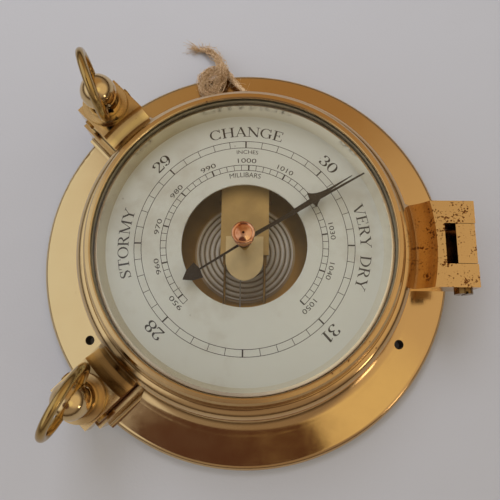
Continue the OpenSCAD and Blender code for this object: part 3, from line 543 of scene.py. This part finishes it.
def silvered(name, hex_tone, rough, metal):
    """Silver powder rubbed into brass under lacquer: pale and matt, with faint stains about 4 cm across,
    a few specks 10 mm apart, and fine brushing of about 0.5 mm."""
    made, tree, shader, place = new_material(name)
    stain = put(tree, "TexNoise", {"Vector": place, "Scale": STAINS_PER_M, "Detail": 5.0,
                                   "Roughness": 0.65})
    ramp = put(tree, "ValToRGB", {"Fac": stain}, stops=((0.25, DIAL_STAIN_HEX), (0.48, hex_tone)))
    speck = put(tree, "TexVoronoi", {"Vector": place, "Scale": SPECKS_PER_M}, feature="F1")
    near = put(tree, "Math", {0: speck, 1: 0.035}, operation="LESS_THAN")
    faint = put(tree, "Math", {0: near, 1: 0.35}, operation="MULTIPLY")
    spotted = put(tree, "Mix", {SHARE: faint, FIRST: ramp, SECOND: DIAL_SPECK_HEX}, data_type="RGBA")
    grain = put(tree, "TexNoise", {"Vector": place, "Scale": BRUSHING_PER_M})
    bump = put(tree, "Bump", {"Height": grain, "Strength": 0.05, "Distance": 0.05 * MM})
    fill(tree, shader, {"Base Color": spotted, "Normal": bump, "Metallic": metal, "Roughness": rough})
    return made


give(parts["dial_plate"], silvered("silvered_brass", DIAL_HEX, 0.42, 0.25))

# Dial print
# Scales, numbers and weather words printed in dark ink. The inches scale goes all the way round, and the
# millibars scale inside it stops at both ends. Angles run clockwise from 12 o'clock, radii from the centre.
DIAL_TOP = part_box("dial_plate")[1].z
INK_LOW = DIAL_TOP + 0.005 * MM
INK_TOP = DIAL_TOP + 0.03 * MM
INK_HEX = "#1f1d1a"
INK_THIN_HEX = "#35312c"
THIN_SPOTS_PER_M = 800.0
INCH_OUT, INCH_IN = 44.43 * MM, 41.57 * MM
INCH_TICKS = 40
MB_OUT, MB_IN = 33.87 * MM, 31.55 * MM
MB_FIRST, MB_MID, MB_LAST = 948, 1000, 1050
MB_PER_DEG = 10 / 26.58
MB_MID_AZ = 2.3
LINE_W = 0.24 * MM
HEAVY_W = 0.62 * MM


def polar(az, r):
    """x and y of a clockwise angle from 12 o'clock, in degrees, and a radius."""
    a = np.radians(az)
    return np.stack([r * np.sin(a), r * np.cos(a)], -1)


def ink_strip(left, right):
    """A closed thin slab between two lines of points, from INK_LOW to INK_TOP."""
    left, right = np.asarray(left, float), np.asarray(right, float)
    n = len(left)
    flat = np.vstack([left, right])
    points = np.vstack([np.column_stack([flat, np.full(2 * n, INK_TOP)]),
                        np.column_stack([flat, np.full(2 * n, INK_LOW)])])
    i = np.arange(n - 1)
    m = 2 * n
    top = np.stack([i, n + i, n + i + 1, i + 1], -1)
    under = top[:, ::-1] + m
    left_wall = np.stack([i, i + 1, i + 1 + m, i + m], -1)
    right_wall = np.stack([n + i + 1, n + i, n + i + m, n + i + 1 + m], -1)
    ends = [[0, m, m + n, n], [n - 1, 2 * n - 1, m + 2 * n - 1, m + n - 1]]
    return points, np.vstack([top, under, left_wall, right_wall]).tolist() + ends


def arc_line(r, az_from, az_to, width):
    """A printed line along a circle."""
    az = np.linspace(az_from, az_to, max(2, int(abs(az_to - az_from) / 1.5) + 1))
    return ink_strip(polar(az, r - width / 2), polar(az, r + width / 2))


def tick(az, r_in, r_out, width):
    """A printed line across a scale."""
    half = math.degrees(width / 2 / r_out)
    return ink_strip(polar(np.array([az - half, az - half]), np.array([r_in, r_out])),
                     polar(np.array([az + half, az + half]), np.array([r_in, r_out])))


def millibar_az(mb):
    """The angle of a pressure on the millibars scale: it grows evenly with the pressure."""
    return MB_MID_AZ + (mb - MB_MID) / MB_PER_DEG


scale_lines = []
for r in (INCH_OUT, INCH_IN):
    scale_lines += [arc_line(r, a, a + 90, LINE_W) for a in (0, 90, 180, 270)]
for k in range(INCH_TICKS):
    scale_lines.append(tick(9 * k, INCH_IN, INCH_OUT, HEAVY_W if k % 5 == 0 else LINE_W))
for r in (MB_OUT, MB_IN):
    scale_lines.append(arc_line(r, millibar_az(MB_FIRST), millibar_az(MB_LAST), LINE_W))
for mb in range(MB_FIRST, MB_LAST + 1, 2):
    scale_lines.append(tick(millibar_az(mb), MB_IN, MB_OUT, HEAVY_W if mb % 10 == 0 else LINE_W))


def ink():
    """Screen-printed ink: flat, nearly black, thinner and browner in spots about 1 mm wide, with a soft
    sheen."""
    made, tree, shader, place = new_material("dial_ink")
    thin = put(tree, "TexNoise", {"Vector": place, "Scale": THIN_SPOTS_PER_M})
    ramp = put(tree, "ValToRGB", {"Fac": thin}, stops=((0, INK_HEX), (1, INK_THIN_HEX)))
    fill(tree, shader, {"Base Color": ramp, "Roughness": 0.55})
    return made


ink_material = ink()
scales = piece("dial_scales", *joined(scale_lines), ink_material, "base", smooth=False)

# Dial numbers and words
# Inches numbers and weather words are in a bold Roman face, drawn here stroke by stroke. The millibars
# numbers and the two unit names are in a light sans face. All of them stand with their tops outward.
THICK = 0.135
THIN = 0.05
SERIF_H = 0.05
TOP = 1 - SERIF_H / 2
LOW = SERIF_H / 2
RADIUS_UNIT = 43 * MM
NUMBER_FOOT, NUMBER_CAP = 1.083, 1.19
WORD_FOOT, WORD_CAP = 1.085, 1.187
NUMBER_BEFORE = 1.4


def bar(x0, y0, x1, y1, width=THIN):
    """A straight stroke of one width between two points."""
    return np.array([[x0, y0, width], [x1, y1, width]], float)


def stem(x, width=THICK):
    """An upright stroke from the foot line to the cap line."""
    return bar(x, LOW, x, TOP, width)


def level(x0, x1, y):
    """A stroke across, as thick as a serif."""
    return bar(x0, y, x1, y, SERIF_H)


def foot(x, y=LOW, half=0.13):
    """A serif: a short stroke across the end of a stem."""
    return level(x - half, x + half, y)


def tip(x, y0, y1):
    """The thin upright end of an arm."""
    return bar(x, y0, x, y1)


def bow(cx, cy, rx, ry, start=0, end=360):
    """A stroke along part of an ellipse, thin at its top and bottom and thick at its sides. Degrees
    counter-clockwise from the right."""
    a = np.radians(np.linspace(start, end, 22))
    width = THIN + (THICK - THIN) * np.abs(np.cos(a)) ** 1.6
    return np.column_stack([cx + rx * np.cos(a), cy + ry * np.sin(a), width])


def ball(x, y, r):
    """The round drop at the end of a curved stroke: a chain of widths of a circle."""
    a = np.linspace(-0.98, 0.98, 9)
    return np.column_stack([x + r * a, np.full(9, y), 2 * r * np.sqrt(1 - a ** 2)])


SHAPES = {
    "C": (0.86, [bow(0.44, 0.5, 0.36, 0.475, 42, 318), tip(0.75, 0.66, 1.0), bar(0.73, 0.02, 0.76, 0.26)]),
    "G": (0.92, [bow(0.44, 0.5, 0.36, 0.475, 42, 300), tip(0.75, 0.66, 1.0),
                 bar(0.73, 0.05, 0.73, 0.42, THICK), foot(0.73, 0.44)]),
    "O": (0.90, [bow(0.45, 0.5, 0.37, 0.475)]),
    "D": (0.90, [stem(0.19), bow(0.30, 0.5, 0.50, 0.475, -90, 90), level(0.05, 0.32, TOP),
                 level(0.05, 0.32, LOW)]),
    "H": (0.98, [stem(0.2), stem(0.78), bar(0.2, 0.51, 0.78, 0.51),
                 *(foot(x, y, 0.16) for x in (0.2, 0.78) for y in (LOW, TOP))]),
    "A": (0.88, [bar(0.12, LOW, 0.44, 1.0), bar(0.42, 1.0, 0.75, LOW, THICK), bar(0.24, 0.33, 0.62, 0.33),
                 foot(0.11), foot(0.76, LOW, 0.15)]),
    "N": (0.96, [stem(0.17, THIN), bar(0.79, 0.0, 0.79, TOP), bar(0.15, 0.96, 0.78, 0.05, THICK),
                 foot(0.14, TOP, 0.11), foot(0.17), foot(0.79, TOP)]),
    "E": (0.80, [stem(0.2), level(0.05, 0.66, TOP), level(0.05, 0.7, LOW), bar(0.2, 0.52, 0.5, 0.52),
                 tip(0.5, 0.4, 0.64), tip(0.665, 0.76, 1.0), tip(0.705, 0.0, 0.27)]),
    "S": (0.68, [np.column_stack([
        [0.54, 0.42, 0.30, 0.17, 0.13, 0.22, 0.38, 0.51, 0.555, 0.48, 0.33, 0.18, 0.10],
        [0.80, 0.95, 0.965, 0.87, 0.73, 0.61, 0.50, 0.39, 0.25, 0.10, 0.035, 0.05, 0.20],
        [0.04, 0.05, 0.06, 0.09, 0.12, 0.15, 0.16, 0.15, 0.12, 0.09, 0.06, 0.05, 0.04]]),
                 tip(0.545, 0.68, 1.0), tip(0.09, 0.0, 0.32)]),
    "T": (0.84, [stem(0.42), level(0.06, 0.78, TOP), foot(0.42, LOW, 0.17), bar(0.06, 0.74, 0.08, 1.0),
                 bar(0.78, 0.74, 0.76, 1.0)]),
    "R": (0.90, [stem(0.2), bow(0.36, 0.745, 0.27, 0.23, -90, 90), level(0.05, 0.4, TOP),
                 bar(0.2, 0.515, 0.4, 0.515), bar(0.43, 0.5, 0.73, 0.03, THICK), foot(0.2, LOW, 0.16),
                 level(0.68, 0.88, LOW)]),
    "M": (1.16, [bar(0.17, LOW, 0.19, TOP), stem(0.95), bar(0.19, 1.0, 0.56, 0.06, THICK),
                 bar(0.56, 0.0, 0.93, 1.0), foot(0.17), foot(0.13, TOP, 0.1), foot(0.95, LOW, 0.16),
                 level(0.93, 1.11, TOP)]),
    "Y": (0.86, [bar(0.12, TOP, 0.43, 0.47, THICK), bar(0.75, TOP, 0.43, 0.47),
                 bar(0.43, LOW, 0.43, 0.5, THICK), foot(0.12, TOP, 0.14), foot(0.74, TOP, 0.12),
                 foot(0.43, LOW, 0.17)]),
    "V": (0.88, [bar(0.13, TOP, 0.45, 0.0, THICK), bar(0.77, TOP, 0.46, 0.0), foot(0.13, TOP, 0.15),
                 foot(0.77, TOP, 0.12)]),
    " ": (0.62, []),
    "0": (0.62, [bow(0.31, 0.5, 0.23, 0.475)]),
    "1": (0.46, [bar(0.25, LOW, 0.25, 1.0, THICK), foot(0.25, LOW, 0.17), bar(0.06, 0.86, 0.25, 0.97)]),
    "2": (0.62, [bow(0.29, 0.72, 0.215, 0.255, 168, -18), bar(0.49, 0.64, 0.07, 0.07, 0.075),
                 bar(0.05, 0.055, 0.55, 0.055, 0.11), ball(0.13, 0.72, 0.075),
                 bar(0.55, 0.03, 0.575, 0.24)]),
    "3": (0.62, [bow(0.27, 0.745, 0.2, 0.23, 150, -90), bow(0.27, 0.265, 0.245, 0.24, 90, -150),
                 ball(0.12, 0.80, 0.07), ball(0.1, 0.19, 0.075)]),
    "8": (0.62, [bow(0.31, 0.755, 0.185, 0.22), bow(0.31, 0.275, 0.23, 0.25)]),
    "9": (0.62, [bow(0.30, 0.675, 0.22, 0.3), np.column_stack([
        [0.53, 0.535, 0.50, 0.42, 0.30, 0.17],
        [0.70, 0.50, 0.30, 0.14, 0.045, 0.06],
        [0.12, 0.13, 0.12, 0.09, 0.06, 0.05]]), ball(0.15, 0.13, 0.075)])}


def roman_word(word, az_from, az_to, r_foot, height):
    """Slabs for a word in the Roman face that fills a span of the circle: across becomes angle and up
    becomes radius, and each stroke is cut at right angles to its own run."""
    wide = sum(SHAPES[c][0] for c in word)
    deg = (az_to - az_from) / wide
    slabs, start = [], 0.0
    for c in word:
        advance, strokes = SHAPES[c]
        for s in strokes:
            way = np.gradient(s[:, :2], axis=0)
            way /= np.linalg.norm(way, axis=1)[:, None]
            side = np.column_stack([-way[:, 1], way[:, 0]]) * s[:, 2:] / 2
            edges = []
            for edge in (s[:, :2] - side, s[:, :2] + side):
                edges.append(polar(az_from + (start + edge[:, 0]) * deg, r_foot + edge[:, 1] * height))
            slabs.append(ink_strip(edges[1], edges[0]))
        start += advance
    return slabs


roman = []
for word, az_from, az_to in (
        ("29", -50.6, -41.0), ("30", 40.2, 49.9), ("31", 131.5, 139.8), ("28", -140.0, -130.4),
        ("STORMY", -107.5, -73.0), ("CHANGE", -18.3, 18.8), ("VERY DRY", 69.6, 111.4)):
    r_foot, r_cap = (NUMBER_FOOT, NUMBER_CAP) if word.isdigit() else (WORD_FOOT, WORD_CAP)
    roman += roman_word(word, az_from, az_to, r_foot * RADIUS_UNIT, (r_cap - r_foot) * RADIUS_UNIT)
words = piece("dial_words", *joined(roman), ink_material, "base", smooth=False)


def sans_word(word, az_mid, span, r_foot, r_cap):
    """A word in the plain face, bent to the circle: its width becomes the span in degrees about az_mid,
    and its height runs from r_foot to r_cap."""
    curve = bpy.data.curves.new("word", "FONT")
    curve.body = word
    curve.resolution_u = 4
    curve.extrude = 0.5
    source = bpy.data.objects.new("word", curve)
    bpy.context.scene.collection.objects.link(source)
    bpy.context.view_layer.update()
    flat = bpy.data.meshes.new_from_object(source.evaluated_get(bpy.context.evaluated_depsgraph_get()))
    bpy.data.objects.remove(source)
    co = np.empty(3 * len(flat.vertices))
    flat.vertices.foreach_get("co", co)
    co = co.reshape(-1, 3)
    lo, hi = co.min(0), co.max(0)
    part = (co - lo) / (hi - lo)
    where = polar(az_mid + (part[:, 0] - 0.5) * span, (r_foot + part[:, 1] * (r_cap - r_foot)) * RADIUS_UNIT)
    z = np.where(part[:, 2] > 0.5, INK_TOP, INK_LOW)
    faces = [list(f.vertices) for f in flat.polygons]
    bpy.data.meshes.remove(flat)
    return np.column_stack([where, z]), faces


plain = [sans_word("INCHES", 1.0, 13.0, 0.905, 0.943), sans_word("MILLIBARS", -0.2, 25.2, 0.664, 0.712)]
for mb in (950, 960, 970, 980, 990, 1000, 1010, 1030, 1040, 1050):
    width = 10.5 if mb < 1000 else 12.4 if mb == 1000 else 11.2
    plain.append(sans_word(str(mb), millibar_az(mb) - NUMBER_BEFORE, width, 0.812, 0.858))
numbers = piece("dial_numbers", *joined(plain), ink_material, "base", smooth=False)

# Reflector ring and glass retainer
# A thin brass cone spun between the dial and the window, polished, lacquered and silvery, which mirrors
# the edge of the dial. The flat ring above it, pressed in under the glass, is silvered and matt.
# Painted light: the tones, darker on the left and in the middle and near white on the right, stand in for
# how the cone is lit and what it mirrors.
REFLECTOR_PAINTED_TONES = ("#cfc8b8", "#d2c6aa", "#fbf5e8")
give(parts["reflector_ring"], polished_brass("lacquered_brass", pits=0.12, rough=0.16,
                                             tones=REFLECTOR_PAINTED_TONES))
give(parts["glass_retainer"], satin_brass("silvered_retainer", "#cfc6ab", 0.6, metal=0.3))

# Aneroid capsule
# Two thin corrugated discs of nickel silver, soldered at the rim and emptied of air. A stud in the
# middle stands over the corrugations, under the lever.
# Painted light by height: a highlight on the crests and shade in the folds
CREST_HIGHLIGHT_HEX = "#fffaf0"
SLOPE_HEX = "#dccfb4"
FOLD_SHADE_HEX = "#3a3024"
DEEP_FOLD_SHADE_HEX = "#1c150d"
RIM_HEX = "#e2c798"
CAPSULE_BROWN_HEX = "#7a6244"
COLOUR_DEPTH = 2.6 * MM
BROWN_FROM = 0.006
BROWN_ALL = -0.02
CAPSULE_CLOUDS_PER_M = 60.0


def crest_of(node):
    """Height of the highest point of a round node in the outer half of its radius."""
    co = np.array([v.co for v in parts[node].data.vertices])
    r = np.hypot(co[:, 0], co[:, 1])
    return float(co[r > r.max() / 2, 2].max())


def nickel_silver():
    """Rolled and pressed nickel silver: a warm white metal with a painted highlight on the crests and
    painted shade in the folds, browner towards the lower edge in clouds about 17 mm across."""
    made, tree, shader, place = new_material("nickel_silver")
    axes = put(tree, "SeparateXYZ", {"Vector": place})
    cloud = put(tree, "TexNoise", {"Vector": place, "Scale": CAPSULE_CLOUDS_PER_M, "Detail": 3.0})
    crest = crest_of("aneroid_capsule")
    lift = put(tree, "MapRange", {"Value": axes.outputs["Z"], "From Min": crest - COLOUR_DEPTH,
                                  "From Max": crest})
    # Painted light: near white on the highest crests, near black in the folds just below them.
    ramp = put(tree, "ValToRGB", {"Fac": lift}, stops=(
        (0.42, RIM_HEX), (0.9, CREST_HIGHLIGHT_HEX), (0.5, DEEP_FOLD_SHADE_HEX), (0.58, FOLD_SHADE_HEX), (0.7, SLOPE_HEX)))
    down = put(tree, "MapRange", {"Value": axes.outputs["Y"], "From Min": BROWN_FROM,
                                  "From Max": BROWN_ALL})
    mixed = put(tree, "Math", {0: down, 1: cloud}, operation="MULTIPLY")
    darkened = put(tree, "Mix", {SHARE: mixed, FIRST: ramp, SECOND: CAPSULE_BROWN_HEX}, data_type="RGBA")
    bump = put(tree, "Bump", {"Height": cloud, "Strength": 0.1, "Distance": 0.2 * MM})
    fill(tree, shader, {"Base Color": darkened, "Normal": bump, "Metallic": 0.25, "Roughness": 0.25})
    return made


give(parts["aneroid_capsule"], nickel_silver())

# Bridge, cock, bearing plate, lever and hairspring
# The block that carries the lever's pivot and the two plates that carry the pointer's arbor are matt
# lacquered brass, fixed with slotted steel screws. The lever is rolled brass, the hairspring bronze.
give(parts["bridge"], satin_brass("dark_lacquered_brass", "#7d6138", 0.4))
give(parts["pointer_cock"], satin_brass("lacquered_tan_brass", "#c4a66c", 0.45, metal=0.6))
give(parts["bearing_plate"], satin_brass("pale_lacquered_brass", "#e4cf9e", 0.45, metal=0.6))
give(parts["main_lever"], satin_brass("rolled_brass", "#8f7345", 0.35))
give(parts["hairspring"], satin_brass("spring_bronze", "#9a7440", 0.3))

# Pointers
# Both hands are punched from thin steel and blackened. The main one is driven by the movement, and the
# set hand is turned by the copper knob through the glass.
STEEL_BLACK_HEX = "#171412"
STEEL_BROWN_HEX = "#332a22"
STEEL_CLOUDS_PER_M = 120.0


def blackened_steel():
    """Chemically blackened steel: dark, brown in clouds about 8 mm across, with a low oily gloss."""
    made, tree, shader, place = new_material("blackened_steel")
    cloud = put(tree, "TexNoise", {"Vector": place, "Scale": STEEL_CLOUDS_PER_M, "Detail": 3.0})
    ramp = put(tree, "ValToRGB", {"Fac": cloud}, stops=((0, STEEL_BLACK_HEX), (1, STEEL_BROWN_HEX)))
    fill(tree, shader, {"Base Color": ramp, "Metallic": 0.6, "Roughness": 0.4})
    return made


black = blackened_steel()
give(parts["main_pointer"], black)
give(parts["set_hand"], black)

# Window ring
# The hinged brass ring that holds the glass, cast and turned: bead, sloped band, cove, two dog plates
# and the hinge block. The coves beside the dogs carry painted dark reflections, stronger at the lower dog.
COVE_SHARE = 0.815
COVE_LIFT = 3 * MM
# Where the dog coves carry painted dark reflections, and how strong they are.
dog_coves = []
for which, strength in (("upper", 0.4), ("lower", 0.65)):
    low_corner, high_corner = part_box("seat_washer_" + which)
    dog_at = (low_corner + high_corner) / 2
    dog_coves.append(((dog_at.x * COVE_SHARE, dog_at.y * COVE_SHARE, dog_at.z + COVE_LIFT), strength))
ring_brass = polished_brass("turned_ring_brass", turned=0.35, pits=0.45, rough=0.13, worn_at=HINGE_AT,
                            darkened=dog_coves)
give(parts["window_ring"], ring_brass)

# Glass
# A flat disc of drawn sheet glass, drilled for the knob's bush and held between the gasket and the
# retainer. It has the slight waves of drawn glass, and light passes it without a dark shadow.
WAVES_PER_M = 18.0
glass, tree, shader, place = new_material("sheet_glass")
ripple = put(tree, "TexNoise", {"Vector": place, "Scale": WAVES_PER_M})
swell = put(tree, "Bump", {"Height": ripple, "Strength": 0.05, "Distance": 0.5 * MM})
fill(tree, shader, {"Base Color": "#ffffff", "Roughness": 0.02, "Transmission Weight": 1.0, "IOR": 1.5,
                    "Normal": swell})
clear = put(tree, "BsdfTransparent")
light = put(tree, "LightPath")
thin = put(tree, "MixShader", {0: light.outputs["Is Shadow Ray"], 1: shader, 2: clear})
result = next(n for n in tree.nodes if n.type == "OUTPUT_MATERIAL")
fill(tree, result, {"Surface": thin})
give(parts["glass"], glass)

# Hinge pin and keeper pins
# Turned brass pins, pushed in. The hinge pin has a slotted head and is darker than the ring, and two
# small ones keep each dog's screw.
PIN_TONES = ("#94784c", "#8a6e44", "#80643c")
give(parts["hinge_pin"], polished_brass("pin_brass", pits=0.3, rough=0.2, tones=PIN_TONES))
give(parts["keeper_pins"], satin_brass("pin_brass_dull", "#b08c52", 0.3))

# Set knob and its bush
# A turned copper knob with a rolled rim, a ring and a domed centre with a dark centre mark. Its stem
# runs in a dark brown brass bush in the glass.
COPPER_HEX = "#f3c19e"
COPPER_BROWN_HEX = "#c27c54"
COPPER_CLOUDS_PER_M = 260.0
CENTRE_MARK_HEX = "#3a1a10"
CENTRE_MARK_R = 0.6 * MM
CENTRE_MARK_FULL = 0.35 * MM


def copper():
    """Polished copper: orange metal, a little browned in clouds about 4 mm across, and dark where the
    lathe's centre stood."""
    made, tree, shader, place = new_material("polished_copper")
    cloud = put(tree, "TexNoise", {"Vector": place, "Scale": COPPER_CLOUDS_PER_M, "Detail": 4.0})
    ramp = put(tree, "ValToRGB", {"Fac": cloud}, stops=((0.3, COPPER_BROWN_HEX), (0.65, COPPER_HEX)))
    plan = put(tree, "VectorMath", {0: place, 1: (1.0, 1.0, 0.0)}, operation="MULTIPLY")
    distance = put(tree, "VectorMath", {0: plan}, operation="LENGTH")
    mark = put(tree, "MapRange", {"Value": distance, "From Min": CENTRE_MARK_R,
                                  "From Max": CENTRE_MARK_FULL})
    marked = put(tree, "Mix", {SHARE: mark, FIRST: ramp, SECOND: CENTRE_MARK_HEX}, data_type="RGBA")
    fill(tree, shader, {"Base Color": marked, "Metallic": 1.0, "Roughness": 0.13})
    return made


give(parts["set_knob"], copper())
give(parts["knob_bush"], satin_brass("dark_brown_brass", "#5c3320", 0.35))

# Dogs
# Two thumb screws that clamp the window to the base: a ball-headed brass screw on a collar, a loose
# washer under it, and a brass ring through the ball to turn it by.
BRONZED_TONES = ("#b9a06a", "#b5955c", "#a98650")
dog_brass = polished_brass("dog_brass", pits=0.25, rough=0.12)
bronzed = polished_brass("bronzed_brass", pits=0.3, rough=0.17, tones=BRONZED_TONES)
washer_brass = polished_brass("washer_brass", pits=0.2, rough=0.25)
for which in ("upper", "lower"):
    give(parts["ball_nut_" + which], dog_brass)
    give(parts["dog_ring_" + which], bronzed)
    give(parts["seat_washer_" + which], washer_brass)
